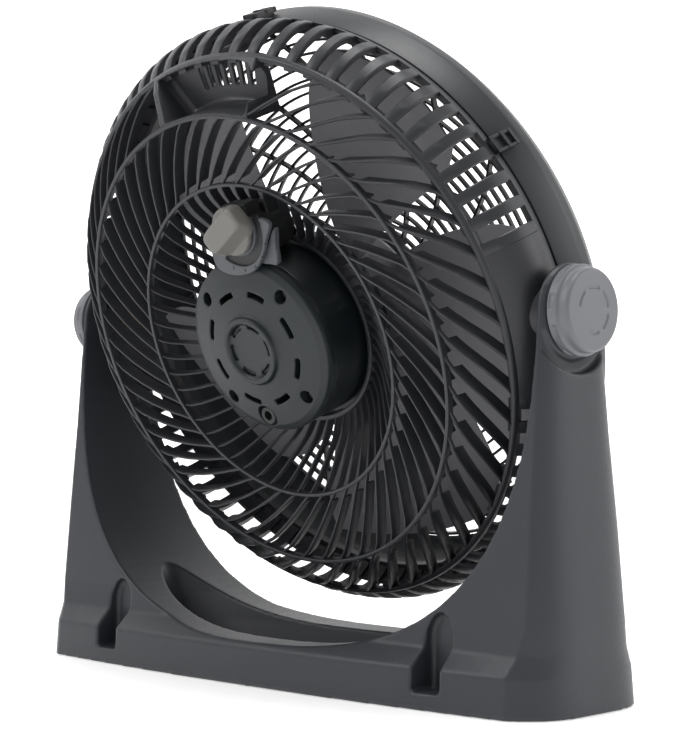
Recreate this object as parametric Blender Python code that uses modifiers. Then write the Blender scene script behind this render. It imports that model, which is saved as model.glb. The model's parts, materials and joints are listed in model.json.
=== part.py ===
"""Pivoting high-velocity floor fan on a U-shaped stand.

Frame: origin on the floor under the tilt pivot, +Z up, +Y to the rear, -Y the outlet side.
Sizes are in millimetres and become metres through MM when a mesh is made. The fan head is
modelled about its own axis (+Y to the rear), then tilted by the empty that carries it.
"""

from math import cos, pi, radians, sin

import bmesh
import bpy
from mathutils import Matrix, Vector

MM = 0.001
NAME = "pivoting_floor_fan"

# --- driving dimensions -------------------------------------------------------------------
PIVOT_HEIGHT = 232.0
HEAD_TILT = 20.5

GUARD_FLANGE = (-18.0, 187.6)  # each ring: place along the head axis, radius
GUARD_SHOULDER = (31.5, 180.0)
GUARD_OUTER_RING = (54.8, 148.5)
GUARD_INNER_RING = (50.8, 104.0)
GUARD_COLLAR = (21.0, 62.0)
GUARD_BARS = 18
GUARD_STRAPS = 26
GUARD_SWEEP_OUTER = 17.5
GUARD_SWEEP_MIDDLE = 21.0
BAR_WIDTH = 2.6
BAR_DEPTH = 6.0
STRAP_WIDTH = 6.0
STRAP_DEPTH = 3.2

RING_LIP = (-57.5, 180.5)
RING_MAX_RADIUS = 194.3
GRILLE_DEPTH = -74.0
GRILLE_RINGS = 5
GRILLE_RIBS = 10

MOTOR_RADIUS = 57.5
MOTOR_WALL = 2.5
MOTOR_REAR = 56.2
MOTOR_FRONT = -4.0
SHAFT_RADIUS = 4.0

BLADES = 5
BLADE_RADIUS = 166.0
BLADE_SPAN = 54.0
FIRST_BLADE = 24.0
HUB_RADIUS = 42.0

POD_X, POD_Z = -12.0, 78.0
POD_RADIUS = 23.0
POD_FACE = 62.5
KNOB_RADIUS = 17.0
KNOB_HEIGHT = 13.0

FOOT_END = 224.5
FOOT_CORNER = (200.0, 55.0)
FOOT_BOW = 65.0
BARREL_POWER = 4.0
APRON_TOP = 25.0
LEDGE_TOP = 35.0
ARM_TOP_RADIUS = 28.0
CRADLE_HALF_WIDTH = 202.0
CRADLE_DEPTH = 205.0
CRADLE_POWER = 2.75
SHELL_WALL = 3.0
POCKET = (146.0, 39.0)
POCKET_FLOOR = 8.0
SEAT_X = 208.0
SEAT_RADIUS = 37.0

TILT_KNOB_SKIRT = 27.0
TILT_KNOB_CAP = 24.6
TILT_KNOB_LENGTH = 13.4
BOLT_RADIUS = 4.0
FLUTES = 9

GAP = 0.35


# --- helpers ------------------------------------------------------------------------------
def clear_scene():
    for obj in list(bpy.data.objects):
        bpy.data.objects.remove(obj, do_unlink=True)


def make_collection(name):
    collection = bpy.data.collections.new(name)
    bpy.context.scene.collection.children.link(collection)
    return collection


def linear(channel):
    return channel / 12.92 if channel <= 0.04045 else ((channel + 0.055) / 1.055) ** 2.4


def material(name, hex_colour, roughness, metallic=0.0):
    made = bpy.data.materials.new(name)
    made.use_nodes = True
    shader = made.node_tree.nodes["Principled BSDF"]
    rgb = [linear(int(hex_colour[i : i + 2], 16) / 255) for i in (0, 2, 4)]
    shader.inputs["Base Color"].default_value = (*rgb, 1.0)
    shader.inputs["Roughness"].default_value = roughness
    shader.inputs["Metallic"].default_value = metallic
    made.diffuse_color = (*rgb, 1.0)
    return made


def add_object(name, mesh, look=None, parent=None, collection=None):
    obj = bpy.data.objects.new(name, mesh)
    (collection or PARTS).objects.link(obj)
    if look:
        mesh.materials.append(look)
    obj.parent = parent
    return obj


def add_empty(name, location, parent=None, rotation=(0, 0, 0)):
    empty = bpy.data.objects.new(name, None)
    PARTS.objects.link(empty)
    empty.empty_display_size = 0.02
    empty.location = Vector(location) * MM
    empty.rotation_euler = rotation
    empty.parent = parent
    return empty


def as_cutter(obj):
    for collection in list(obj.users_collection):
        collection.objects.unlink(obj)
    CUTTERS.objects.link(obj)
    obj.hide_render = True
    obj.display_type = "WIRE"
    return obj


def boolean(obj, other, operation):
    modifier = obj.modifiers.new(f"{operation.lower()}_{other.name}", "BOOLEAN")
    modifier.operation = operation
    modifier.solver = "EXACT"
    modifier.object = other
    as_cutter(other)


def to_mesh(name, build):
    mesh = bpy.data.meshes.new(name)
    bm = bmesh.new()
    build(bm)
    bmesh.ops.recalc_face_normals(bm, faces=bm.faces)
    bm.to_mesh(mesh)
    bm.free()
    return mesh


def smooth(obj, angle=35):
    obj.data.shade_smooth()
    obj.data.set_sharp_from_angle(angle=radians(angle))
    return obj


def loft_into(bm, sections):
    """Skins closed sections of equal point counts and caps both ends."""
    rings = [[bm.verts.new(Vector(point) * MM) for point in section] for section in sections]
    for first, second in zip(rings, rings[1:]):
        for i in range(len(first)):
            j = (i + 1) % len(first)
            bm.faces.new((first[i], first[j], second[j], second[i]))
    bm.faces.new(rings[0][::-1])
    bm.faces.new(rings[-1])


def lofts(name, bodies, look=None, parent=None):
    """One object out of several lofted bodies, each a list of sections."""

    def build(bm):
        for sections in bodies:
            loft_into(bm, sections)

    return add_object(name, to_mesh(name, build), look, parent)


def turned(name, profiles, look=None, parent=None, axis="y", at=(0, 0, 0), steps=48):
    """Screws closed (radius, height) outlines about an axis; outlines run down their outer side."""
    mesh = bpy.data.meshes.new(name)
    bm = bmesh.new()
    for profile in profiles:
        points = [bm.verts.new((radius * MM, 0, height * MM)) for radius, height in profile]
        ends_on_axis = profile[0][0] == 0 and profile[-1][0] == 0
        loop = points if ends_on_axis else points + points[:1]
        for first, second in zip(loop, loop[1:]):
            bm.edges.new((first, second))
    bm.to_mesh(mesh)
    bm.free()
    obj = add_object(name, mesh, look, parent)
    screw = obj.modifiers.new("turn", "SCREW")
    screw.axis = "Z"
    screw.steps = screw.render_steps = steps
    screw.use_merge_vertices = True
    screw.merge_threshold = 0.00001
    turn = {"z": (0, 0, 0), "y": (-pi / 2, 0, 0), "x": (0, pi / 2, 0), "-x": (0, -pi / 2, 0)}
    obj.rotation_euler = turn[axis]
    obj.location = Vector(at) * MM
    return obj


def tube(inner, outer, low, high):
    """Outline of a ring of rectangular section."""
    return [(inner, high), (outer, high), (outer, low), (inner, low)]


def rod(radius, low, high):
    return [(0, high), (radius, high), (radius, low), (0, low)]


def box(name, size, centre, look=None, parent=None, bevel=0.0):
    mesh = bpy.data.meshes.new(name)
    bm = bmesh.new()
    bmesh.ops.create_cube(bm, size=1.0, matrix=Matrix.Diagonal((*(Vector(size) * MM), 1)))
    bm.to_mesh(mesh)
    bm.free()
    obj = add_object(name, mesh, look, parent)
    obj.location = Vector(centre) * MM
    if bevel:
        edge = obj.modifiers.new("edge", "BEVEL")
        edge.width = bevel * MM
        edge.segments = 2
    return obj


def mix(start, end, t):
    return start + (end - start) * t


def along(points, t):
    """Point at t (0 to 1) of an outline of evenly weighted points."""
    place = min(t * (len(points) - 1), len(points) - 1 - 1e-9)
    i = int(place)
    return tuple(mix(a, b, place - i) for a, b in zip(points[i], points[i + 1]))


def on_head(axial, radius, phi):
    """Point of the head; phi in degrees runs clockwise from the top, seen from the rear."""
    return Vector((-radius * sin(radians(phi)), axial, radius * cos(radians(phi))))


# --- stand --------------------------------------------------------------------------------
def stand_section(z, inset=0.0):
    """Outline of the stand at height z: bowed long sides and barrel ends."""
    stations = [
        # height, bow at the centre, corner x, corner y, end x, extra depth of the front corner
        (0.0, FOOT_BOW, FOOT_CORNER[0], FOOT_CORNER[1], FOOT_END, 6.0),
        (APRON_TOP, FOOT_BOW - 1.5, FOOT_CORNER[0] - 0.5, FOOT_CORNER[1] - 1.5, FOOT_END - 2, 6.0),
        (LEDGE_TOP, 47.5, 203.0, 46.8, 221.8, 5.5),
        (50.0, 46.0, 206.5, 43.5, 221.0, 5.0),
        (105.0, 40.0, 206.0, 38.5, 217.0, 4.5),
        (160.0, 34.5, 205.0, 33.5, 213.8, 2.5),
        (PIVOT_HEIGHT, ARM_TOP_RADIUS + 0.8, 204.0, ARM_TOP_RADIUS, 211.5, 0.0),
    ]
    height = min(z, PIVOT_HEIGHT)
    for low, high in zip(stations, stations[1:]):
        if height <= high[0]:
            t = (height - low[0]) / (high[0] - low[0])
            _, bow, corner_x, corner_y, end_x, extra = (mix(a, b, t) for a, b in zip(low, high))
            break
    if z > PIVOT_HEIGHT:
        corner_y = (ARM_TOP_RADIUS**2 - (z - PIVOT_HEIGHT) ** 2) ** 0.5
        bow = corner_y + 0.8
    bow, corner_x, end_x = bow - inset, corner_x - inset * 0.6, end_x - inset
    rear = stand_quarter(bow, corner_x, corner_y - inset, end_x)
    front = stand_quarter(bow, corner_x, corner_y + extra - inset, end_x)
    right = rear + [(end_x, 0.0)] + [(x, -y) for x, y in front[::-1]]
    left = [(-x, y) for x, y in right[-2:0:-1]]
    return [(x, y, z) for x, y in right + left]


def stand_quarter(bow, corner_x, corner_y, end_x):
    """A quarter of the stand's outline, from the centre of a long side to just short of the end."""
    quarter = [(corner_x * k / 4, bow - (bow - corner_y) * (k / 4) ** 2) for k in range(4)]
    for k in range(6):
        y = corner_y * (1 - (k / 6) ** 1.2)
        quarter.append((corner_x + (end_x - corner_x) * (1 - (y / corner_y) ** BARREL_POWER), y))
    return quarter


def cradle(name, grow=0.0):
    """Cutter for the cradle between the arms: a superellipse about the pivot, run along Y."""
    half_width, depth = CRADLE_HALF_WIDTH + grow, CRADLE_DEPTH + grow
    outline = []
    for i in range(25):
        angle = pi + pi * i / 24
        c, s = cos(angle), sin(angle)
        x = half_width * abs(c) ** (2 / CRADLE_POWER) * (1 if c > 0 else -1)
        z = PIVOT_HEIGHT - depth * abs(s) ** (2 / CRADLE_POWER)
        outline.append((x, z))
    outline += [(half_width, PIVOT_HEIGHT + 80), (-half_width, PIVOT_HEIGHT + 80)]
    sections = [[(x, y, z) for x, z in outline] for y in (-90.0, 90.0)]
    return lofts(name, [sections])


def oval_prism(name, half_x, half_y, low, high, steps=24):
    outline = [(half_x * cos(2 * pi * k / steps), half_y * sin(2 * pi * k / steps)) for k in range(steps)]
    return lofts(name, [[[(x, y, z) for x, y in outline] for z in (low, high)]])


COVER_SCREWS = [(x, y) for x in (-176.0, 176.0) for y in (-30.0, 30.0)]
FEET = [(x, y) for x in (-150.0, 150.0) for y in (-42.0, 42.0)]


def build_stand():
    heights = [0.0, APRON_TOP, LEDGE_TOP, 50.0, 75.0, 105.0, 160.0, 200.0, PIVOT_HEIGHT]
    crown = [PIVOT_HEIGHT + ARM_TOP_RADIUS * sin(radians(a)) for a in (22, 44, 64, 80)]
    shell = lofts("stand_shell", [[stand_section(z) for z in heights + crown]], SLATE)

    hollow = lofts(
        "cut_stand_hollow",
        [[stand_section(z, SHELL_WALL) for z in (-2.0, 22.0, 33.0, 50.0, 75.0, 105.0, 160.0, 186.0)]],
    )
    boolean(hollow, cradle("cut_cradle_skin", SHELL_WALL), "DIFFERENCE")
    boolean(
        hollow,
        oval_prism("cut_pocket_skin", POCKET[0] + 3, POCKET[1] + 3, POCKET_FLOOR - SHELL_WALL, 120),
        "DIFFERENCE",
    )
    towers = [
        [[(x + 6 * cos(a), y + 6 * sin(a), z) for a in (2 * pi * k / 8 for k in range(8))]
         for z in (2.9, 130.0)]
        for x, y in COVER_SCREWS
    ]
    boolean(hollow, lofts("cut_towers", towers), "DIFFERENCE")
    bores = [
        [[(x + 1.7 * cos(a), y + 1.7 * sin(a), z) for a in (2 * pi * k / 8 for k in range(8))]
         for z in (1.0, 16.0)]
        for x, y in COVER_SCREWS
    ]
    boolean(hollow, lofts("cut_screw_bores", bores), "UNION")

    boolean(shell, cradle("cut_cradle"), "DIFFERENCE")
    boolean(shell, hollow, "DIFFERENCE")
    boolean(shell, oval_prism("cut_pocket", *POCKET, POCKET_FLOOR, 120.0), "DIFFERENCE")
    boolean(shell, lofts("cut_rear_slots", [rear_slot(-1), rear_slot(1)]), "DIFFERENCE")
    for side in (-1, 1):
        axis = "x" if side > 0 else "-x"
        at = (0, 0, PIVOT_HEIGHT)
        seat = turned(f"cut_seat_{side}", [rod(SEAT_RADIUS, SEAT_X, SEAT_X + 20)], axis=axis, at=at)
        hole = turned(f"cut_bolt_hole_{side}", [rod(BOLT_RADIUS + 0.6, 190, 220)], axis=axis, at=at, steps=20)
        boolean(shell, seat, "DIFFERENCE")
        boolean(shell, hole, "DIFFERENCE")
    smooth(shell)

    cover = lofts(
        "stand_bottom_cover", [[stand_section(z, SHELL_WALL + GAP) for z in (0.0, 2.5)]], BLACK
    )
    recesses = [
        [[(x + 9.5 * cos(a), y + 9.5 * sin(a), z) for a in (2 * pi * k / 12 for k in range(12))]
         for z in (-1.0, 1.6)]
        for x, y in FEET
    ]
    boolean(cover, lofts("cut_foot_recesses", recesses), "DIFFERENCE")
    for i, (x, y) in enumerate(COVER_SCREWS, 1):
        counterbore = [(0, 4), (2.0, 4), (2.0, 1.2), (4.4, 1.2), (4.4, -1), (0, -1)]
        screw = [(0, 14), (1.4, 14), (1.4, 1.0), (3.8, 1.0), (3.8, 0.2), (0, 0.2)]
        boolean(cover, turned(f"cut_cover_screw_{i}", [counterbore], axis="z", at=(x, y, 0), steps=8),
                "DIFFERENCE")
        turned(f"cover_screw_{i}", [screw], STEEL, axis="z", at=(x, y, 0), steps=8)
    for i, (x, y) in enumerate(FEET, 1):
        turned(f"rubber_foot_{i}", [rod(9.0, 0.0, 1.3)], RUBBER, axis="z", at=(x, y, 0), steps=12)


def rear_slot(side):
    """Body of an arched slot cut through the apron at the rear."""
    centre, half, low, spring = 145.5 * side, 10.5, 12.0, 38.0
    arch = [(centre + half * cos(a), spring + half * 1.25 * sin(a)) for a in (pi * k / 8 for k in range(9))]
    outline = [(centre - half, low), (centre + half, low)] + arch
    return [[(x, y, z) for x, z in outline] for y in (38.0, 80.0)]


# --- tilt pivots --------------------------------------------------------------------------
def build_tilt_pivot(side, word):
    axis = "x" if side > 0 else "-x"
    centre = (0, 0, PIVOT_HEIGHT)
    turned(f"pivot_washer_{word}", [tube(BOLT_RADIUS + 0.6, 15, 199.8, 201.6)], RUBBER, axis=axis,
           at=centre, steps=24)
    carrier = add_empty(f"tilt_knob_axis_{word}", centre)
    foot = SEAT_X + GAP
    face = foot + TILT_KNOB_LENGTH
    knob = turned(
        f"tilt_knob_{word}",
        [[(0, face), (21.5, face), (23.8, face - 0.9), (TILT_KNOB_CAP, face - 2.6),
          (TILT_KNOB_CAP, foot + 5.4), (26.4, foot + 5.0), (TILT_KNOB_SKIRT, foot + 3.8),
          (TILT_KNOB_SKIRT, foot), (0, foot)]],
        MID_GREY, carrier, axis=axis, steps=28,
    )
    flutes = []
    for k in range(FLUTES):
        phi = 2 * pi * k / FLUTES
        c, s = cos(phi), sin(phi)
        flute = []
        for x in (foot - 1, foot + 3.2):
            corners = (pi * j / 2 for j in range(4))
            ring = [(TILT_KNOB_SKIRT + 0.9 + 1.6 * cos(a), 1.6 * sin(a)) for a in corners]
            flute.append([(side * x, r * c - t * s, r * s + t * c) for r, t in ring])
        flutes.append(flute)
    boolean(knob, lofts(f"cut_flutes_{word}", flutes, parent=carrier), "DIFFERENCE")
    boolean(knob, turned(f"cut_bolt_pocket_{word}", [rod(BOLT_RADIUS + GAP, foot - 2, foot + 8)],
                         parent=carrier, axis=axis, steps=16), "DIFFERENCE")
    turned(f"clamp_bolt_{word}", [rod(BOLT_RADIUS, 188, foot + 7.6)], STEEL, carrier, axis=axis, steps=16)


# --- fan head -----------------------------------------------------------------------------
OUTER_ZONE = [GUARD_OUTER_RING, (46.5, 168.0), GUARD_SHOULDER]
MIDDLE_ZONE = [GUARD_INNER_RING, (53.8, 126.0), GUARD_OUTER_RING]
INNER_ZONE = [GUARD_COLLAR, (31.0, 78.0), (45.0, 95.0), GUARD_INNER_RING]
SIDE_ZONE = [GUARD_SHOULDER, (18.0, 191.5), (2.0, 195.0), GUARD_FLANGE]


def guard_bars(zone, count, phi_start, sweep, sections, width, depth, inward=False):
    """Bars of one zone; depth runs forward for the rear face and inward for the side wall."""
    bodies = []
    for i in range(count):
        first = phi_start + 360.0 * i / count
        steps = [k / sections for k in range(sections + 1)]
        path = [on_head(*along(zone, t), first + sweep * t) for t in steps]
        body = []
        for k, place in enumerate(path):
            tangent = path[min(k + 1, sections)] - path[max(k - 1, 0)]
            down = Vector((-place.x, 0, -place.z)).normalized() if inward else Vector((0, -1, 0))
            across = tangent.cross(down).normalized() * (width / 2)
            deep = down * depth
            body.append([place - across, place + across, place + across + deep, place - across + deep])
        bodies.append(body)
    return bodies


def ring_outline(ring, half_width, rise, depth):
    axial, radius = ring
    return tube(radius - half_width, radius + half_width, axial - depth, axial + rise)


def sector(phi_low, phi_high, outline, steps=6):
    """Solid swept round the head axis from one angle to another."""
    phis = [mix(phi_low, phi_high, k / steps) for k in range(steps + 1)]
    return [[on_head(axial, radius, phi) for radius, axial in outline] for phi in phis]


def build_rear_grille():
    rings = [
        ring_outline(GUARD_OUTER_RING, 1.7, 0.8, 7.0),
        ring_outline(GUARD_INNER_RING, 1.6, 0.8, 7.0),
        [(177.5, 32.6), (181.0, 32.2), (183.6, 28.6), (182.6, 24.5), (177.5, 24.5)],
        tube(MOTOR_RADIUS + 0.6, 64.0, 12.0, 22.5),
        [(183.0, -13.0), (188.2, -13.0), (188.2, -23.0), (183.0, -23.0)],
    ]
    guard = turned("rear_grille", rings, CHARCOAL, HEAD, steps=36)
    first = lofts(
        "join_guard_bars_a",
        guard_bars(INNER_ZONE, GUARD_BARS, 0, -12.0, 2, BAR_WIDTH, BAR_DEPTH)
        + guard_bars(OUTER_ZONE, GUARD_BARS, 5, GUARD_SWEEP_OUTER, 2, BAR_WIDTH, BAR_DEPTH),
        parent=HEAD,
    )
    second = lofts(
        "join_guard_bars_b",
        guard_bars(MIDDLE_ZONE, GUARD_BARS, 3, GUARD_SWEEP_MIDDLE, 1, BAR_WIDTH, BAR_DEPTH)
        + guard_bars(SIDE_ZONE, GUARD_STRAPS, 2, 0.0, 2, STRAP_WIDTH, STRAP_DEPTH, True),
        parent=HEAD,
    )
    boolean(guard, first, "UNION")
    boolean(guard, second, "UNION")

    handle = [(146.5, 52.5), (181.0, 30.5), (181.0, 3.0), (146.5, 3.0)]
    hollow = [(149.5, 70.0), (176.6, 70.0), (176.6, 6.0), (149.5, 6.0)]
    boolean(guard, lofts("join_handle", [sector(-18.5, 18.5, handle)], parent=HEAD), "UNION")
    boolean(guard, lofts("cut_handle", [sector(-16.6, 13.0, hollow)], parent=HEAD), "DIFFERENCE")
    for side, word in ((-1, "left"), (1, "right")):
        axis = "x" if side > 0 else "-x"
        boss = turned(f"join_boss_{word}", [tube(7.4, 16.4, 181.0, 199.3)], parent=HEAD, axis=axis, steps=28)
        boolean(guard, boss, "UNION")
        boolean(guard, turned(f"cut_boss_{word}", [rod(7.4, 170.0, 205.0)], parent=HEAD, axis=axis, steps=28),
                "DIFFERENCE")
        turned(f"pivot_insert_{word}", [tube(BOLT_RADIUS + 0.4, 7.0, 184.0, 199.0)], BRASS, HEAD, axis=axis,
               steps=20)
    clearance = turned("cut_pod_clearance", [rod(POD_RADIUS + GAP, 8.0, 70.0)], parent=HEAD,
                       at=(POD_X, 0, POD_Z), steps=36)
    boolean(guard, clearance, "DIFFERENCE")
    smooth(guard)


def dome(radius):
    """Axial place of the front grille's surface at a radius."""
    return mix(GRILLE_DEPTH, RING_LIP[0] + 2, (radius / 179.0) ** 2)


def build_front():
    rim = [(188.8, -17.0), (190.4, -17.0), (RING_MAX_RADIUS, -35.5), (193.0, -42.5), (189.0, -48.5),
           (183.5, -55.5), (RING_LIP[1], RING_LIP[0]), (179.6, -54.0), (186.0, -44.0), (188.8, -34.0)]
    smooth(turned("front_ring", [rim], CHARCOAL, HEAD, steps=44))

    radii = [mix(34.0, 177.5, k / (GRILLE_RINGS - 1)) for k in range(GRILLE_RINGS)]
    rings = [tube(r - 1.0, r + 1.0, dome(r) - 1.0, dome(r) + 2.0) for r in radii]
    grille = turned("front_grille", rings, CHARCOAL, HEAD, steps=24)
    ribs = []
    for i in range(GRILLE_RIBS):
        rib = []
        for k in range(4):
            radius = mix(33.5, 178.0, k / 3)
            phi = 360.0 * i / GRILLE_RIBS - 26.0 * k / 3
            place = on_head(dome(radius) + 0.4, radius, phi)
            across = on_head(0, 1.0, phi + 90.0)
            deep = Vector((0, 4.0, 0))
            rib.append([place - across, place + across, place + across + deep, place - across + deep])
        ribs.append(rib)
    boolean(grille, lofts("join_grille_ribs", ribs, parent=HEAD), "UNION")
    smooth(grille)
    cap = [(0, GRILLE_DEPTH + 3.0), (32.5, dome(32) + 2.5), (32.5, dome(32) - 0.6), (26, GRILLE_DEPTH - 1.0),
           (0, GRILLE_DEPTH - 2.0)]
    smooth(turned("front_centre_cap", [cap], MID_GREY, HEAD))

    for i in range(6):
        phi = -0.5 + 60.0 * i
        clip = lofts(f"grille_clip_{i + 1}", [clip_sections(phi)], CHARCOAL, HEAD)
        smooth(clip)


def clip_sections(phi):
    """A latch clip that hooks over the joint between the front ring and the rear grille."""
    sections = []
    across = on_head(0, 5.5, phi + 90.0)
    for axial, low, high in ((-8.0, 195.4, 197.2), (-14.0, 194.0, 198.0), (-24.0, 193.4, 197.6),
                             (-30.0, 194.4, 196.4)):
        inside, outside = on_head(axial, low, phi), on_head(axial, high, phi)
        sections.append([inside - across, inside + across, outside + across, outside - across])
    return sections


def build_motor():
    rear_cap = turned(
        "motor_rear_cap",
        [[(0, 64.5), (16.5, 64.5), (18.6, 67.0), (21.6, 67.0), (23.0, 63.8), (40.0, 61.0),
          (55.8, MOTOR_REAR), (MOTOR_RADIUS, 53.0), (54.6, 53.0), (52.0, 53.8), (24.0, 58.5),
          (14.4, 58.5), (14.4, 49.0), (11.3, 49.0), (11.3, 60.5), (0, 60.5)]],
        TEAL, HEAD, steps=28,
    )
    slots = []
    for k in range(8):
        slots.append((45.0 + 90.0 * (k // 2) + (23.5 if k % 2 else -23.5), 36.5, 13.0, 3.0))
    for i, (phi, radius, length, width) in enumerate(slots):
        cutter = box(f"cut_cap_slot_{i}", (length, 30, width), on_head(60.0, radius, phi), parent=HEAD)
        cutter.rotation_euler = (0, radians(-phi), 0)
        boolean(rear_cap, cutter, "DIFFERENCE")
    for k in range(4):
        phi = 45.0 + 90.0 * k
        at = on_head(0, 46.5, phi)
        hole = turned(f"cut_cap_hole_{k + 1}", [rod(3.9, 40.0, 70.0)], parent=HEAD, at=at, steps=12)
        boolean(rear_cap, hole, "DIFFERENCE")
        screw = [(0, 54.0), (3.0, 54.0), (3.0, 51.6), (1.6, 51.6), (1.6, 38.0), (0, 38.0)]
        turned(f"motor_screw_{k + 1}", [screw], STEEL, HEAD, at=at, steps=8)
    smooth(rear_cap)

    barrel = tube(MOTOR_RADIUS - MOTOR_WALL, MOTOR_RADIUS, MOTOR_FRONT, 52.7)
    smooth(turned("motor_barrel", [barrel], DARK_TEAL, HEAD, steps=32))
    plate = MOTOR_RADIUS - MOTOR_WALL - GAP
    smooth(turned("motor_front_plate",
                  [[(11.3, 8.0), (14.4, 8.0), (14.4, -1.2), (plate, -1.2), (plate, MOTOR_FRONT),
                    (11.3, MOTOR_FRONT)]], STEEL, HEAD, steps=32))
    turned("motor_stator", [tube(25.0, 40.0, 14.0, 37.0)], STEEL, HEAD, steps=24)
    turned("stator_winding_rear", [tube(27.0, 36.5, 37.4, 47.5)], COPPER, HEAD, steps=20)
    turned("stator_winding_front", [tube(27.0, 38.5, 3.5, 13.6)], COPPER, HEAD, steps=20)
    turned("motor_bearing_rear", [tube(SHAFT_RADIUS + GAP, 11.0, 50.0, 57.0)], STEEL, HEAD, steps=16)
    turned("motor_bearing_front", [tube(SHAFT_RADIUS + GAP, 11.0, -3.5, 3.5)], STEEL, HEAD, steps=16)

    at = on_head(0, 46.5, 188.0)
    gland = [(3.2, 59.0), (5.6, 59.0), (7.0, 57.0), (7.0, 50.4), (3.2, 50.4)]
    smooth(turned("cord_gland", [gland], BLACK, HEAD, at=at, steps=20))
    boolean(rear_cap, turned("cut_gland", [rod(7.0 + GAP, 40.0, 70.0)], parent=HEAD, at=at, steps=20),
            "DIFFERENCE")


MOTOR_CLEARANCE = [(0, 66.0), (24.0, 66.0), (40.0, 61.7), (56.3, 56.9), (MOTOR_RADIUS + GAP, 53.8),
                   (MOTOR_RADIUS + GAP, 0.0), (0, 0.0)]


def build_switch_pod():
    at = (POD_X, 0, POD_Z)
    face = POD_FACE
    pod = turned(
        "switch_pod",
        [[(5.0, face), (POD_RADIUS - 1.4, face), (POD_RADIUS, face - 1.4), (POD_RADIUS, 28.0),
          (POD_RADIUS - 2.2, 28.0), (POD_RADIUS - 2.2, face - 2.6), (5.0, face - 2.6)]],
        POD_GREY, HEAD, at=at, steps=32,
    )
    boolean(pod, turned("cut_pod_by_motor", [MOTOR_CLEARANCE], parent=HEAD), "DIFFERENCE")
    smooth(pod)
    box("rotary_switch", (20, 13, 18), (POD_X, 52.6, POD_Z + 6), BLACK, HEAD, 0.8)
    box("run_capacitor", (24, 12, 14), (POD_X, 37.5, POD_Z + 6), BLACK, HEAD, 1.2)

    top = face + KNOB_HEIGHT
    knob = turned("speed_knob",
                  [[(0, top), (14.5, top), (16.2, top - 1.2), (KNOB_RADIUS, face + 1.5),
                    (KNOB_RADIUS, face + 0.5), (4.6, face + 0.5), (4.6, face - 2.9), (0, face - 2.9)]],
                  LIGHT_GREY, KNOB_AXIS, steps=24)
    for side in (-1, 1):
        flat = box(f"cut_knob_side_{side}", (16.0, 20.0, 40.0), (side * 15.2, top + 3.0, 0), parent=KNOB_AXIS)
        boolean(knob, flat, "DIFFERENCE")
    smooth(knob)


def build_impeller():
    turned("motor_shaft", [rod(SHAFT_RADIUS, -58.0, 57.5)], STEEL, SPIN_AXIS, steps=20)
    turned("motor_rotor", [tube(SHAFT_RADIUS + GAP, 24.2, 12.0, 39.0)], STEEL, SPIN_AXIS, steps=24)
    hub = turned(
        "impeller",
        [[(HUB_RADIUS - 2.5, -7.0), (HUB_RADIUS, -7.0), (HUB_RADIUS, -48.0), (38.0, -53.0),
          (SHAFT_RADIUS + GAP, -53.0), (SHAFT_RADIUS + GAP, -9.0), (10.0, -9.0), (12.0, -15.0), (12.0, -50.0),
          (36.0, -50.0), (HUB_RADIUS - 2.5, -46.5)]],
        BLADE_GREY, SPIN_AXIS, steps=24,
    )
    boolean(hub, lofts("join_blades", [blade(i) for i in range(BLADES)], parent=SPIN_AXIS), "UNION")
    smooth(hub)
    smooth(turned("impeller_nut", [tube(SHAFT_RADIUS + 1.0, 9.0, -62.0, -53.4)], BRASS, SPIN_AXIS, steps=6))


def blade(index):
    """Swept blade: a thin section that turns from the hub to the tip."""
    stations = 5
    sections = []
    for k in range(stations):
        t = k / (stations - 1)
        radius = mix(HUB_RADIUS - 1.2, BLADE_RADIUS, t)
        half = mix(26.0, BLADE_SPAN / 2, t) * (1.0 - 0.16 * max(0.0, t - 0.8) / 0.2)
        centre = FIRST_BLADE + 360.0 * index / BLADES + 14.0 * (t - 0.5)
        rise = mix(34.0, 26.0, t)
        back, front = [], []
        for j in range(4):
            u = j / 3
            phi = centre + mix(-half, half, u)
            axial = -28.0 + rise * (u - 0.5) - 5.0 * sin(pi * u)
            back.append(on_head(axial + 1.2, radius, phi))
            front.append(on_head(axial - 1.2, radius, phi))
        sections.append(back + front[::-1])
    return sections


clear_scene()
PARTS = make_collection(NAME)
CUTTERS = make_collection("cutters")

SLATE = material("stand_plastic", "55575b", 0.42)
CHARCOAL = material("guard_plastic", "3a3b3e", 0.45)
BLACK = material("black_plastic", "1d1e20", 0.5)
RUBBER = material("rubber", "1a1a1b", 0.85)
MID_GREY = material("knob_plastic_mid", "85878a", 0.45)
LIGHT_GREY = material("knob_plastic_light", "a8a6a3", 0.45)
POD_GREY = material("pod_plastic", "8d9092", 0.45)
TEAL = material("motor_cap_plastic", "3b4a4e", 0.35)
DARK_TEAL = material("motor_barrel_paint", "1e2a2e", 0.4)
BLADE_GREY = material("impeller_plastic", "5b5b5d", 0.4)
STEEL = material("steel", "9a9c9f", 0.3, 1.0)
BRASS = material("brass", "b08d4a", 0.3, 1.0)
COPPER = material("enamelled_copper", "9c5a34", 0.35, 1.0)

HEAD = add_empty("head_pivot", (0, 0, PIVOT_HEIGHT), rotation=(radians(-HEAD_TILT), 0, 0))
SPIN_AXIS = add_empty("impeller_axis", (0, 0, 0), HEAD)
KNOB_AXIS = add_empty("speed_knob_axis", (POD_X, 0, POD_Z), HEAD, rotation=(0, radians(-58), 0))

build_stand()
for SIDE, WORD in ((-1, "left"), (1, "right")):
    build_tilt_pivot(SIDE, WORD)
build_rear_grille()
build_front()
build_motor()
build_switch_pod()
build_impeller()
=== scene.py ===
"""Looks of the pivoting floor fan: fine guard, moulded stand, knobs, impeller and their materials.

Shapes are in millimetres, and the studio is in metres. Head pieces use the head's own axes: +Y along
the fan axis to the rear, and phi in degrees, clockwise from the top as seen from the rear.
"""

import json
from math import asin, cos, pi, radians, sin

import bmesh
import bpy
from mathutils import Matrix, Vector


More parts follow.
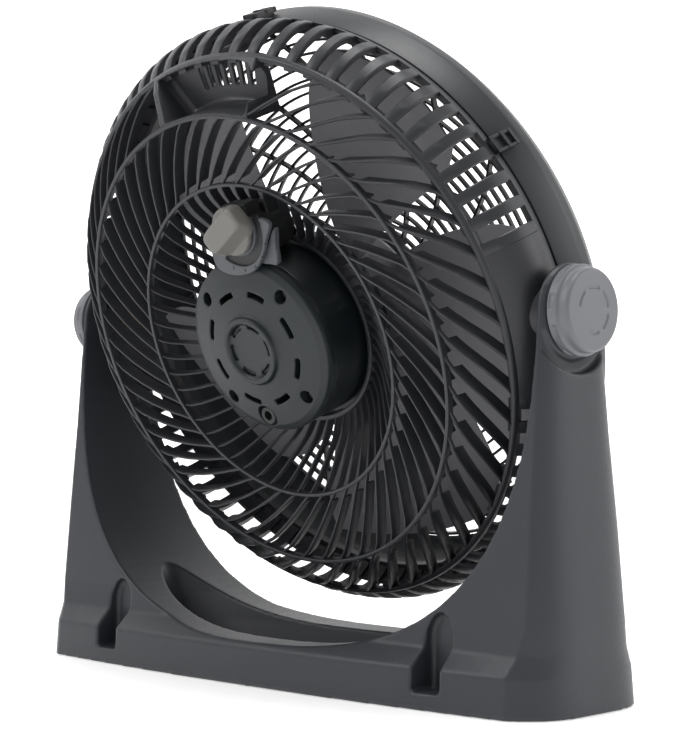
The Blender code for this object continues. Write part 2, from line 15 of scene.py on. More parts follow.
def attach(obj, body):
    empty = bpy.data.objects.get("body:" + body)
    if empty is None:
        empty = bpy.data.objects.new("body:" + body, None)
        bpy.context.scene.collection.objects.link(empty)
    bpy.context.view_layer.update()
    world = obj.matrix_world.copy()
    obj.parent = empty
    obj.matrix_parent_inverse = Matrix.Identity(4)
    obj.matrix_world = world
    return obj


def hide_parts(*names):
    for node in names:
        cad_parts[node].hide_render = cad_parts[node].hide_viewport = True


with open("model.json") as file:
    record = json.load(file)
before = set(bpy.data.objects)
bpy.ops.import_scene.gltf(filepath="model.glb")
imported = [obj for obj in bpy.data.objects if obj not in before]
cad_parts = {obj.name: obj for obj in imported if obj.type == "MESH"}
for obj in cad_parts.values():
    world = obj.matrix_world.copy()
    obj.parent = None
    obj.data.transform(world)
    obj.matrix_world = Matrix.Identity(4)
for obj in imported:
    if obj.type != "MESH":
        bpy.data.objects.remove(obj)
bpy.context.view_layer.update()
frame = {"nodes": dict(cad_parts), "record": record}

MM = 0.001
JOINTS = {joint["name"]: joint for joint in frame["record"]["behaviour"]["joints"]}
PIVOT = Vector(JOINTS["head_tilt"]["pos_m"])
FAN_AXIS = Vector(JOINTS["impeller_spin"]["axis"])
HEAD = Matrix.Translation(PIVOT) @ Matrix.Rotation(asin(FAN_AXIS.z), 4, "X") @ Matrix.Scale(MM, 4)
WORLD = Matrix.Scale(MM, 4)
KNOB_CENTRE = HEAD.inverted() @ Vector(JOINTS["speed_knob_turn"]["pos_m"])
PIVOT_HEIGHT = PIVOT.z / MM

# --- driving dimensions -------------------------------------------------------------------
SHOULDER = (31.5, 180.0)  # rings of the guard, each as place along the fan axis and radius
OUTER_RING = (54.8, 148.5)
INNER_RING = (50.8, 104.0)
COLLAR = (21.0, 62.0)
GUARD_BARS = 54
INNER_SWEEP = 12.0  # degrees that a bar turns through in each zone of the guard
MIDDLE_SWEEP = 21.0
OUTER_SWEEP = 17.5
BAR_DEPTH = 8.5
INNER_BAR_DEPTH = 6.5
NOTCH_DEPTH = 2.2
SIDE_STRAPS = 72
STRAP_WIDTH = 7.6
STRAP_DEPTH = 4.4
WALL = 2.6
PLATE_HALF = 14.0  # half of the closed stretch of the side wall at each pivot, in degrees
GRIP_GAP_HALF = 20.5  # half of the stretch that the outer bars leave to the grip, in degrees
GRIP_SLOTS = 7
CLIPS = 6
FIRST_CLIP = -0.5
CLIP_MIDDLE = -19.0
LIP = (-57.5, 180.5)
GRILLE_DEPTH = -74.0
GRILLE_RINGS = 18
GRILLE_RIBS = 18
GRILLE_CENTRE = 33.0
GRILLE_EDGE = 179.0
GRILLE_SWEEP = 30.0
MOTOR_RADIUS = 57.5
CAP_HOLE_CIRCLE = 46.5
CAP_SLOT_CIRCLE = 36.5
CAP_CUT = (45.0, 75.0)  # a cut through the motor cap runs from below its skirt to above its face
GLAND_ANGLE = 188.0
POD_FACE = 62.5
DIAL_RECESS = (17.0, 23.4)
HUB_RADIUS = 42.0
BLADES = 5
BLADE_RADIUS = 166.0
FIRST_BLADE = 24.0
CRADLE_HALF_WIDTH = 202.0
CRADLE_DEPTH = 205.0
CRADLE_POWER = 2.75
ARM_TOP_RADIUS = 28.0
SEAT_X = 208.35
SEAT_RADIUS = 37.0
TILT_KNOB_RADIUS = 27.0
TILT_KNOB_LENGTH = 13.4
CAMERA_PLACE = (-0.9592, 0.9739, 0.1998)
CAMERA_WAY = (0.69466, -0.71934, 0.0)
WHITE = (1.0, 1.0, 1.0, 1.0)


# --- materials ----------------------------------------------------------------------------
def linear(hex_colour, gain=1.0):
    """Linear RGBA of an sRGB colour, brightened by gain."""
    channels = [int(hex_colour[i : i + 2], 16) / 255 for i in (0, 2, 4)]
    lit = [c / 12.92 if c <= 0.04045 else ((c + 0.055) / 1.055) ** 2.4 for c in channels]
    return [gain * c for c in lit] + [1.0]


def new_look(name, hex_colour, roughness, metallic=0.0):
    look = bpy.data.materials.new(name)
    look.use_nodes = True
    shader = look.node_tree.nodes["Principled BSDF"]
    shader.inputs["Base Color"].default_value = linear(hex_colour)
    shader.inputs["Roughness"].default_value = roughness
    shader.inputs["Metallic"].default_value = metallic
    return look, shader


def add_node(look, kind, **settings):
    """A shader node; each setting is one of its inputs, or else a property."""
    node = look.node_tree.nodes.new(kind)
    for key, value in settings.items():
        if key in node.inputs:
            node.inputs[key].default_value = value
        else:
            setattr(node, key, value)
    return node


def noise(look, scale, detail, stretch=(1, 1, 1)):
    """Noise in the object's own coordinates; scale is in repeats per metre."""
    place = add_node(look, "ShaderNodeTexCoord")
    mapping = add_node(look, "ShaderNodeMapping")
    mapping.inputs["Scale"].default_value = stretch
    texture = add_node(look, "ShaderNodeTexNoise", Scale=scale, Detail=detail)
    look.node_tree.links.new(place.outputs["Object"], mapping.inputs["Vector"])
    look.node_tree.links.new(mapping.outputs["Vector"], texture.inputs["Vector"])
    return texture.outputs["Fac"]


def spread(look, source, low, high):
    """A number that follows the noise between low and high."""
    ranged = add_node(look, "ShaderNodeMapRange")
    ranged.inputs["From Min"].default_value = 0.3
    ranged.inputs["From Max"].default_value = 0.7
    ranged.inputs["To Min"].default_value = low
    ranged.inputs["To Max"].default_value = high
    look.node_tree.links.new(source, ranged.inputs["Value"])
    return ranged.outputs["Result"]


def finish_surface(look, shader, hex_colour, roughness, vary, grain, depth, cloud=9.0, stretch=(1, 1, 1)):
    """Cloudy colour and roughness, and a fine grain in the bump."""
    links = look.node_tree.links
    clouds = noise(look, cloud, 3.0)
    fine = noise(look, grain, 4.0, stretch)
    blend = add_node(look, "ShaderNodeMix", data_type="RGBA")
    dark, pale = [socket for socket in blend.inputs if socket.type == "RGBA"]
    dark.default_value = linear(hex_colour, 1 - vary)
    pale.default_value = linear(hex_colour, 1 + vary)
    blended = next(socket for socket in blend.outputs if socket.type == "RGBA")
    links.new(spread(look, clouds, 0.0, 1.0), blend.inputs["Factor"])
    links.new(blended, shader.inputs["Base Color"])
    links.new(spread(look, fine, roughness - 0.06, roughness + 0.06), shader.inputs["Roughness"])
    bump = add_node(look, "ShaderNodeBump", Strength=0.5, Distance=depth * MM)
    links.new(fine, bump.inputs["Height"])
    links.new(bump.outputs["Normal"], shader.inputs["Normal"])


def plastic(name, hex_colour, roughness, vary=0.06, grain=900.0, depth=0.05, coat=0.0):
    look, shader = new_look(name, hex_colour, roughness)
    finish_surface(look, shader, hex_colour, roughness, vary, grain, depth)
    shader.inputs["Coat Weight"].default_value = coat
    shader.inputs["Coat Roughness"].default_value = 0.25
    return look


def metal(name, hex_colour, roughness, stretch=(1, 1, 1)):
    look, shader = new_look(name, hex_colour, roughness, metallic=1.0)
    finish_surface(look, shader, hex_colour, roughness, vary=0.1, grain=1200.0, depth=0.02, cloud=30.0,
                   stretch=stretch)
    return look


def winding(name, hex_colour):
    """Varnished copper: the turns show as fine waves round the coil."""
    look, shader = new_look(name, hex_colour, 0.35, metallic=0.9)
    place = add_node(look, "ShaderNodeTexCoord")
    waves = add_node(look, "ShaderNodeTexWave", wave_type="RINGS", rings_direction="SPHERICAL",
                     Scale=260.0, Distortion=1.5)
    bump = add_node(look, "ShaderNodeBump", Strength=0.8, Distance=0.3 * MM)
    look.node_tree.links.new(place.outputs["Object"], waves.inputs["Vector"])
    look.node_tree.links.new(waves.outputs["Fac"], bump.inputs["Height"])
    look.node_tree.links.new(bump.outputs["Normal"], shader.inputs["Normal"])
    look.node_tree.links.new(spread(look, waves.outputs["Fac"], 0.25, 0.5), shader.inputs["Roughness"])
    return look


LOOKS = {
    "stand_plastic": plastic("stand_slate_moulded", "2e3035", 0.47, vary=0.05, grain=700.0, depth=0.06),
    "guard_plastic": plastic("guard_charcoal_moulded", "27282c", 0.42, vary=0.08),
    "ring_plastic": plastic("ring_charcoal_satin", "282a2d", 0.4, vary=0.05, depth=0.04),
    "grille_plastic": plastic("front_grille_black", "101012", 0.45, vary=0.08, depth=0.04),
    "black_plastic": plastic("black_moulded", "1b1c1e", 0.5, vary=0.1),
    "rubber": plastic("soft_rubber", "191919", 0.85, vary=0.12, grain=500.0, depth=0.12),
    "knob_plastic_mid": plastic("knob_mid_grey", "6c6d71", 0.45, vary=0.04, grain=800.0),
    "knob_plastic_light": plastic("knob_light_grey", "6e6c68", 0.48, vary=0.03, grain=800.0, depth=0.03),
    "pod_plastic": plastic("pod_grey", "4a4d51", 0.45, vary=0.04, grain=800.0, depth=0.03),
    "motor_cap_plastic": plastic("cap_teal_grey", "161d20", 0.45, depth=0.03),
    "motor_barrel_paint": plastic("barrel_enamel", "0c1417", 0.38, vary=0.08, grain=500.0, coat=0.3),
    "impeller_plastic": plastic("impeller_grey", "78787c", 0.4, vary=0.05, grain=600.0, depth=0.04),
    "steel": metal("turned_steel", "9a9c9f", 0.3, stretch=(1, 8, 1)),
    "brass": metal("machined_brass", "b08d4a", 0.3, stretch=(8, 1, 1)),
    "enamelled_copper": winding("copper_winding", "9c5a34"),
}


# --- mesh helpers -------------------------------------------------------------------------
def mix(start, end, t):
    return start + (end - start) * t


def on_head(axial, radius, phi):
    """Point on the head, at a place along its axis, a radius and an angle."""
    return Vector((-radius * sin(radians(phi)), axial, radius * cos(radians(phi))))


def flow(points, t):
    """Point at t (0 to 1) of a smooth curve through the points."""
    place = min(max(t, 0.0) * (len(points) - 1), len(points) - 1 - 1e-9)
    i, u = int(place), place - int(place)
    a, b, c, d = (points[min(max(i + k, 0), len(points) - 1)] for k in (-1, 0, 1, 2))
    return tuple(
        0.5 * (2 * q + (r - p) * u + (2 * p - 5 * q + 4 * r - s) * u**2 + (3 * q - p - 3 * r + s) * u**3)
        for p, q, r, s in zip(a, b, c, d)
    )


def signed_power(value, power):
    """Coordinate of a superellipse of this power, from the cosine or sine of its angle."""
    return abs(value) ** (2 / power) * (1 if value > 0 else -1)


def box_outline(inner, outer, low, high):
    """Rectangle as (radius, height) points, for a body that is swept round an axis."""
    return [(inner, high), (outer, high), (outer, low), (inner, low)]


def loop_curve(points, count):
    """Smooth closed curve through the points."""
    padded = points[-2:] + points + points[:3]
    start, span = 2 / (len(padded) - 1), len(points) / (len(padded) - 1)
    return [flow(padded, start + span * k / count) for k in range(count)]


def rounded(outline, radius):
    """A closed outline with each corner turned into a short arc."""
    made = []
    for i, corner in enumerate(outline):
        corner = Vector(corner)
        ends = []
        for other in (outline[i - 1], outline[(i + 1) % len(outline)]):
            way = Vector(other) - corner
            ends.append(corner + way.normalized() * min(radius, way.length * 0.45))
        made += [tuple(ends[0]), tuple(ends[0] * 0.25 + corner * 0.5 + ends[1] * 0.25), tuple(ends[1])]
    return made


def skin(bm, sections, loop):
    """Joins each section to the next; an open body gets two end faces."""
    rings = [[bm.verts.new(point) for point in section] for section in sections]
    for first, second in zip(rings, rings[1:] + (rings[:1] if loop else [])):
        for i in range(len(first)):
            j = (i + 1) % len(first)
            bm.faces.new((first[i], first[j], second[j], second[i]))
    if not loop:
        bm.faces.new(rings[0][::-1])
        bm.faces.new(rings[-1])


def solid(name, bodies, place=HEAD):
    """One object out of lofted bodies, each (sections, loop)."""
    bm = bmesh.new()
    for sections, loop in bodies:
        skin(bm, sections, loop)
    bmesh.ops.remove_doubles(bm, verts=bm.verts, dist=0.001)
    bmesh.ops.recalc_face_normals(bm, faces=bm.faces)
    bm.transform(place)
    mesh = bpy.data.meshes.new(name)
    bm.to_mesh(mesh)
    bm.free()
    obj = bpy.data.objects.new(name, mesh)
    bpy.context.scene.collection.objects.link(obj)
    return obj


def settle(obj, look, body, *cad_nodes, sharp=38):
    """Gives a piece its material, shading and body, and hides the CAD nodes that it stands for."""
    obj.data.materials.clear()
    obj.data.materials.append(LOOKS[look])
    obj.data.shade_smooth()
    if sharp:
        obj.data.set_sharp_from_angle(angle=radians(sharp))
    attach(obj, body)
    if cad_nodes:
        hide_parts(*cad_nodes)


def mould(obj, cutters, voxel, rounds):
    """Cuts the piece, then gives every edge a small moulded radius."""
    for cutter in cutters:
        cut = obj.modifiers.new("cut", "BOOLEAN")
        cut.operation = "DIFFERENCE"
        cut.solver = "EXACT"
        cut.object = cutter
    remesh = obj.modifiers.new("mould", "REMESH")
    remesh.mode = "VOXEL"
    remesh.voxel_size = voxel * MM
    soften = obj.modifiers.new("soften", "SMOOTH")
    soften.factor = 0.5
    soften.iterations = rounds
    made = bpy.data.meshes.new_from_object(obj.evaluated_get(bpy.context.evaluated_depsgraph_get()))
    obj.modifiers.clear()
    obj.data = made
    for cutter in cutters:
        bpy.data.objects.remove(cutter, do_unlink=True)


def spin(outline, steps, low=0.0, high=360.0):
    """Body swept round the fan axis from a (radius, axial) outline."""
    full = high - low >= 360.0
    sections = []
    for k in range(steps if full else steps + 1):
        phi = mix(low, high, k / steps)
        sections.append([on_head(y, r, phi) for r, y in outline])
    return sections, full


def spin_x(outline, steps, side, low=0.0, high=360.0):
    """Body swept round the tilt pivot's axis from a (radius, distance from the middle) outline."""
    full = high - low >= 360.0
    sections = []
    for k in range(steps if full else steps + 1):
        a = radians(mix(low, high, k / steps))
        sections.append([(side * x, r * cos(a), PIVOT_HEIGHT + r * sin(a)) for r, x in outline])
    return sections, full


def prism(outline, levels, grow_from):
    """Body of a (x, z) outline along the fan axis; levels are (axial, inset towards grow_from)."""
    centre_x, centre_z = grow_from
    sections = []
    for axial, inset in levels:
        section = []
        for x, z in outline:
            away = Vector((x - centre_x, z - centre_z))
            away *= max(away.length - inset, 0.0) / away.length
            section.append((centre_x + away.x, axial, centre_z + away.y))
        sections.append(section)
    return sections, False


def peg(centre, radius, low, high, steps=28):
    """Round body along the fan axis."""
    outline = []
    for k in range(steps):
        a = 2 * pi * k / steps
        outline.append((centre.x + radius * cos(a), centre.z + radius * sin(a)))
    return prism(outline, [(low, 0.0), (high, 0.0)], (centre.x, centre.z))


# --- stand --------------------------------------------------------------------------------
STAND_STATIONS = [
    # height, bow at the centre, corner x, corner y, end x, extra depth of the front corner
    (0.0, 65.0, 200.0, 55.0, 224.3, 6.0),
    (23.5, 63.6, 199.5, 53.6, 222.6, 6.0),
    (25.0, 62.6, 199.6, 52.6, 222.4, 6.0),
    (35.0, 47.5, 203.0, 46.8, 221.8, 5.5),
    (50.0, 46.0, 206.5, 43.5, 221.0, 5.0),
    (105.0, 40.0, 206.0, 38.5, 217.0, 4.5),
    (160.0, 34.5, 205.0, 33.5, 213.8, 2.5),
    (PIVOT_HEIGHT, ARM_TOP_RADIUS + 0.8, 204.0, ARM_TOP_RADIUS, 211.5, 0.0),
]


def stand_quarter(bow, corner_x, corner_y, end_x):
    """A quarter of the stand's outline, from the middle of a long side to the end."""
    quarter = [(corner_x * k / 12, bow - (bow - corner_y) * (k / 12) ** 2) for k in range(12)]
    for k in range(20):
        y = corner_y * (1 - (k / 20) ** 1.4)
        quarter.append((corner_x + (end_x - corner_x) * (1 - (y / corner_y) ** 4), y))
    return quarter


def stand_section(z, inset=0.0):
    """Outline of the stand at a height: bowed long sides, and ends that bulge past the corners."""
    height = min(z, PIVOT_HEIGHT)
    for low, high in zip(STAND_STATIONS, STAND_STATIONS[1:]):
        if height <= high[0]:
            t = (height - low[0]) / (high[0] - low[0])
            _, bow, corner_x, corner_y, end_x, extra = (mix(a, b, t) for a, b in zip(low, high))
            break
    if z > PIVOT_HEIGHT:
        corner_y = (ARM_TOP_RADIUS**2 - (z - PIVOT_HEIGHT) ** 2) ** 0.5
        bow = corner_y + 0.8
    rear = stand_quarter(bow - inset, corner_x - inset, corner_y - inset, end_x - inset)
    front = stand_quarter(bow - inset, corner_x - inset, corner_y + extra - inset, end_x - inset)
    right = rear + [(end_x - inset, 0.0)] + [(x, -y) for x, y in front[::-1]]
    return [(x, y, z) for x, y in right + [(-x, y) for x, y in right[-2:0:-1]]]


def cradle_cutter():
    """The space between the arms, below which the head swings."""
    outline = []
    for k in range(65):
        a = pi + pi * k / 64
        x = CRADLE_HALF_WIDTH * signed_power(cos(a), CRADLE_POWER)
        outline.append((x, PIVOT_HEIGHT - CRADLE_DEPTH * abs(sin(a)) ** (2 / CRADLE_POWER)))
    outline += [(CRADLE_HALF_WIDTH, 330.0), (-CRADLE_HALF_WIDTH, 330.0)]
    return solid("cut_cradle", [([[(x, y, z) for x, z in outline] for y in (-90, 90)], False)], WORLD)


def pocket_cutter():
    """The boat-shaped recess in the cradle floor, wider towards its rim."""
    levels = ((8, 112, 27), (12, 119, 31), (26, 128, 34.5), (44, 139, 38), (64, 147, 40), (130, 152, 41))
    turns = [2 * pi * k / 72 for k in range(72)]
    sections = [[(half_x * cos(a), half_y * sin(a) + 1.0, z) for a in turns] for z, half_x, half_y in levels]
    return solid("cut_pocket", [(sections, False)], WORLD)


def slot_cutter(side):
    """An arched slot that runs up from the apron into the rear wall."""
    centre, half, low, spring = 143.5 * side, 10.2, 10.0, 40.0
    arch = [(centre + half * cos(pi * k / 12), spring + half * 1.5 * sin(pi * k / 12)) for k in range(13)]
    outline = [(centre - half, low), (centre + half, low)] + arch
    return solid("cut_slot", [([[(x, y, z) for x, z in outline] for y in (39.5, 90)], False)], WORLD)


def seat_cutters(side):
    """The round seat of a tilt knob with a moat round its foot, and the hole for the clamp bolt."""
    outside, foot, moat = SEAT_X + 20, SEAT_X - 0.6, SEAT_X - 3.4
    seat = [(0, outside), (SEAT_RADIUS, outside), (SEAT_RADIUS, moat), (28.5, moat), (28.5, foot), (0, foot)]
    yield solid("cut_seat", [spin_x(seat, 72, side)], WORLD)
    yield solid("cut_bolt_hole", [spin_x(box_outline(0, 4.8, 190, 226), 24, side)], WORLD)


def make_stand():
    heights = [0.0, 23.5, 25.0, 35.0, 42.0, 50.0, 75.0, 105.0, 130.0, 160.0, 185.0, 210.0, PIVOT_HEIGHT]
    crown = [PIVOT_HEIGHT + ARM_TOP_RADIUS * sin(radians(a)) for a in (15, 30, 45, 58, 70, 80)]
    shell = solid("stand_body", [([stand_section(z) for z in heights + crown], False)], WORLD)
    cutters = [cradle_cutter(), pocket_cutter(), slot_cutter(-1), slot_cutter(1)]
    cutters.append(solid("cut_base", [([stand_section(z, 3.2) for z in (-3.0, 3.4)], False)], WORLD))
    cutters += [*seat_cutters(-1), *seat_cutters(1)]
    mould(shell, cutters, voxel=1.3, rounds=2)
    settle(shell, "stand_plastic", "stand", "stand_shell", sharp=None)


# --- tilt knobs ---------------------------------------------------------------------------
def make_tilt_knob(side, word):
    """A gripped skirt below a smooth cap, with a ring of short arcs sunk in its face."""
    foot, face = SEAT_X, SEAT_X + TILT_KNOB_LENGTH
    outline = [(0, face), (23.2, face), (24.6, face - 1.6), (25.0, foot + 7.2), (26.9, foot + 6.2),
               (TILT_KNOB_RADIUS, foot), (0, foot)]
    knob = solid(f"clamp_knob_{word}", [spin_x(rounded(outline, 0.6), 96, side)], WORLD)
    cutters = []
    for k in range(9):
        first = 40.0 * k
        grip = box_outline(TILT_KNOB_RADIUS - 1, TILT_KNOB_RADIUS + 3, foot + 1.2, foot + 5.2)
        cutters.append(solid("cut_grip", [spin_x(grip, 6, side, first, first + 20.0)], WORLD))
    for k in range(6):
        first = 60.0 * k + 8.0
        arc = box_outline(12.2, 14.6, face - 0.9, face + 2)
        cutters.append(solid("cut_face_arc", [spin_x(arc, 8, side, first, first + 44.0)], WORLD))
    bore = box_outline(0, 4.4, foot - 2, foot + 8)
    cutters.append(solid("cut_bolt_pocket", [spin_x(bore, 24, side)], WORLD))
    mould(knob, cutters, voxel=0.5, rounds=2)
    settle(knob, "knob_plastic_mid", f"tilt_knob_{word}", f"tilt_knob_{word}", sharp=None)


# --- rear guard ---------------------------------------------------------------------------
OUTER_ZONE = [OUTER_RING, (51.2, 158.5), (42.6, 171.5), SHOULDER]
MIDDLE_ZONE = [INNER_RING, (53.0, 116.0), (54.6, 132.0), OUTER_RING]
INNER_ZONE = [COLLAR, (27.5, 74.0), (35.5, 84.0), (45.0, 95.5), INNER_RING]
SIDE_ZONE = [SHOULDER, (24.0, 188.0), (12.0, 194.3), (0.0, 195.8), (-12.0, 192.3), (-18.0, 187.8)]


def bar(zone, start, sweep, width, stops, depths):
    """A thin deep bar with a rounded back edge."""
    path = [on_head(*flow(zone, t), start + sweep * t) for t in stops]
    down = Vector((0, -1, 0))
    sections = []
    for k, (place, depth) in enumerate(zip(path, depths)):
        way = path[min(k + 1, len(path) - 1)] - path[max(k - 1, 0)]
        side = way.cross(down).normalized() * (width / 2)
        profile = [(-1, 0.7), (-0.5, 0.0), (0.5, 0.0), (1, 0.7), (0.8, depth), (-0.8, depth)]
        sections.append([place + side * across + down * drop for across, drop in profile])
    return sections, False


def strap(phi):
    """A flat strap of the side wall, from the shoulder ring to the flange."""
    across = on_head(0, STRAP_WIDTH / 2, phi + 90.0)
    profile = [(-1, 0.7), (-0.8, 0.0), (0.8, 0.0), (1, 0.7), (0.9, STRAP_DEPTH), (-0.9, STRAP_DEPTH)]
    sections = []
    for k in range(11):
        axial, radius = flow(SIDE_ZONE, k / 10)
        sections.append([on_head(axial, radius - drop, phi) + across * share for share, drop in profile])
    return sections, False


def wall_band(first, last, count=10):
    """(radius, axial) outline of a stretch of the side wall; first and last are shares of it."""
    outer = [flow(SIDE_ZONE, mix(first, last, k / count)) for k in range(count + 1)]
    return [(r, y) for y, r in outer] + [(r - WALL, y) for y, r in outer[::-1]]


def make_guard_bars():
    """Three zones of swept bars; a bar is shallow just outside the ring that it starts from."""
    even = [k / 8 for k in range(9)]
    notched = [0.0, 0.17, 0.19, 0.32, 0.46, 0.6, 0.74, 0.87, 1.0]
    depths = [NOTCH_DEPTH] * 2 + [BAR_DEPTH] * 7
    starts = [360.0 / GUARD_BARS * i for i in range(GUARD_BARS)]
    inner = [bar(INNER_ZONE, phi, INNER_SWEEP, 1.7, even, [INNER_BAR_DEPTH] * 9) for phi in starts]
    settle(solid("guard_bars_inner", inner), "guard_plastic", "head")
    middle = [bar(MIDDLE_ZONE, INNER_SWEEP + phi, MIDDLE_SWEEP, 1.8, notched, depths) for phi in starts]
    settle(solid("guard_bars_middle", middle), "guard_plastic", "head")
    outer = []
    for phi in starts:
        first = INNER_SWEEP + MIDDLE_SWEEP + phi
        from_top = (first + OUTER_SWEEP / 2 + 180) % 360 - 180
        if abs(from_top) > GRIP_GAP_HALF:
            outer.append(bar(OUTER_ZONE, first, OUTER_SWEEP, 1.9, notched, depths))
    settle(solid("guard_bars_outer", outer), "guard_plastic", "head")


def make_guard_rings():
    rings = []
    for (axial, radius), half, depth in ((OUTER_RING, 1.3, 4.0), (INNER_RING, 1.2, 3.6)):
        outline = box_outline(radius - half, radius + half, axial - depth, axial + 0.9)
        rings.append(spin(rounded(outline, 0.7), 180))
    shoulder = [(178.0, 33.4), (180.8, 32.9), (182.2, 30.6), (181.4, 26.0), (178.4, 26.0)]
    rings.append(spin(rounded(shoulder, 0.8), 180))
    rings.append(spin(rounded(box_outline(60.4, 63.6, 12.0, 23.0), 0.8), 96))
    rings.append(spin(box_outline(182.6, 188.1, -20.5, -15.5), 180))
    rings.append(spin(wall_band(0.70, 1.0), 180))
    settle(solid("guard_rings", rings), "guard_plastic", "head", "rear_grille")


def make_side_wall():
    """Straps all round, but a closed plate with a boss at each pivot."""
    places = [360.0 / SIDE_STRAPS * i for i in range(SIDE_STRAPS)]
    straps = [strap(phi) for phi in places if abs(phi % 180 - 90) > PLATE_HALF]
    settle(solid("guard_side_straps", straps), "guard_plastic", "head")

    boss_outline = rounded([(8, 199.3), (17, 199.3), (22, 186), (8, 186)], 1.2)
    for phi, side, word in ((-90.0, 1, "right"), (90.0, -1, "left")):
        plate = spin(wall_band(0.0, 1.0), 24, phi - PLATE_HALF, phi + PLATE_HALF)
        obj = solid(f"guard_side_plate_{word}", [plate])
        boss = solid("join_boss", [spin_x(boss_outline, 64, side)], WORLD)
        bm = bmesh.new()
        bm.from_mesh(obj.data)
        bm.from_mesh(boss.data)
        bm.to_mesh(obj.data)
        bm.free()
        bpy.data.objects.remove(boss, do_unlink=True)
        settle(obj, "guard_plastic", "head")


def make_grip():
    """The carry grip: a thin tub between the two outer rings at the top, slotted through its floor."""
    tub = [(147.2, 54.8), (151.0, 54.9), (172.0, 42.4), (181.2, 33.2), (181.2, 24.6), (147.2, 24.6)]
    sections = []
    for k in range(25):
        near, far = mix(-14.4, 15.7, k / 24), mix(-18.3, 12.4, k / 24)
        sections.append([on_head(y, r, mix(near, far, (r - 147.2) / 34.0)) for r, y in tub])
    grip = solid("grip_recess", [(sections, False)])

    rim = [(178.4, mix(-16.6, 8.5, k / 14)) for k in range(15)]
    rim += [(177.2, 10.8), (174.0, 12.9), (169.0, 13.9), (160.0, 14.3)]
    rim += [(150.2, mix(14.5, -13.2, k / 14)) for k in range(15)]
    outline = [(on_head(0, r, phi).x, on_head(0, r, phi).z) for r, phi in rim]
    hollow = prism(outline, [(27.4, 4.0), (29.0, 1.6), (32.5, 0.0), (70.0, 0.0)], (0.0, 165.0))
    cutters = [solid("cut_grip_hollow", [hollow])]
    for k in range(GRIP_SLOTS):
        phi = -6.2 + 2.5 * k
        slot = spin(box_outline(161.0, 175.5, 10.0, 40.0), 2, phi - 0.6, phi + 0.6)
        cutters.append(solid("cut_grip_slot", [slot]))
    mould(grip, cutters, voxel=0.7, rounds=2)
    settle(grip, "guard_plastic", "head", sharp=None)


# --- front --------------------------------------------------------------------------------
def dome(radius):
    """Place along the fan axis of the domed front grille, at a radius."""
    return mix(GRILLE_DEPTH, LIP[0] + 2.0, (radius / GRILLE_EDGE) ** 2)


def grille_rib(phi):
    """A rib of the front grille, which sweeps as it runs out from the centre cap."""
    path = []
    for k in range(11):
        radius = mix(GRILLE_CENTRE, GRILLE_EDGE, k / 10)
        swept = GRILLE_SWEEP * (radius - GRILLE_CENTRE) / (GRILLE_EDGE - GRILLE_CENTRE)
        path.append(on_head(dome(radius) + 0.6, radius, phi - swept))
    sections = []
    for k, place in enumerate(path):
        way = path[min(k + 1, 10)] - path[max(k - 1, 0)]
        side = way.cross(Vector((0, 1, 0))).normalized() * 0.8
        corners = ((-1, 0.0), (1, 0.0), (1, 4.0), (-1, 4.0))
        sections.append([place + side * share + Vector((0, rise, 0)) for share, rise in corners])
    return sections, False


def make_front():
    rim = [(188.6, -16.6), (190.6, -16.6), (194.3, -35.5), (193.3, -42.5), (189.6, -48.5), (184.2, -55.5),
           (LIP[1], LIP[0]), (178.8, -55.6), (184.6, -45.0), (188.0, -34.0)]
    settle(solid("front_bezel", [spin(rounded(rim, 1.0), 216)]), "ring_plastic", "head", "front_ring")

    rings = []
    for k in range(GRILLE_RINGS):
        radius = mix(36.0, 177.0, k / (GRILLE_RINGS - 1))
        wire = box_outline(radius - 0.9, radius + 0.9, dome(radius) - 0.8, dome(radius) + 2.4)
        rings.append(spin(rounded(wire, 0.5), 120))
    settle(solid("grille_rings", rings), "grille_plastic", "head", "front_grille")
    ribs = [grille_rib(360.0 * i / GRILLE_RIBS) for i in range(GRILLE_RIBS)]
    settle(solid("grille_ribs", ribs), "grille_plastic", "head")
    cap = [(0, -71.0), (0, -76.0), (14, -75.6), (15, -74.9), (16, -75.5), (27, -74.8), (32.4, -72.6),
           (33.2, -70.4), (32.4, -69.4)]
    settle(solid("front_cap", [spin(cap, 96)]), "knob_plastic_mid", "head", "front_centre_cap")


def clip_block(phi, low, high, left, right, lift=0.0):
    """Part of a clip between two places along the fan axis; it follows the bulge of the wall."""
    across = on_head(0, 1.0, phi + 90.0)
    sections = []
    for y in (low, high):
        base = 198.1 - 0.0065 * (y - CLIP_MIDDLE) ** 2 + lift
        section = []
        for radius, edge in ((base - 3.4, left), (base - 0.4, left), (base, left + 0.4),
                             (base, right - 0.4), (base - 0.4, right), (base - 3.4, right)):
            section.append(on_head(y, radius, phi) + across * edge)
        sections.append(section)
    return sections, False


def make_clips():
    """Latch clips, each a small frame with two windows, hooked over the front joint."""
    blocks = ((-28.5, -8.5, -5.4, -3.6), (-28.5, -8.5, 3.6, 5.4), (-10.6, -8.5, -5.4, 5.4),
              (-28.5, -26.0, -5.4, 5.4), (-20.4, -18.0, -5.4, 5.4), (-27.0, -10.0, -4.0, 4.0, -2.2))
    for i in range(CLIPS):
        parts = [clip_block(FIRST_CLIP + 360.0 / CLIPS * i, *block) for block in blocks]
        settle(solid(f"latch_clip_{i + 1}", parts), "guard_plastic", "head", f"grille_clip_{i + 1}")


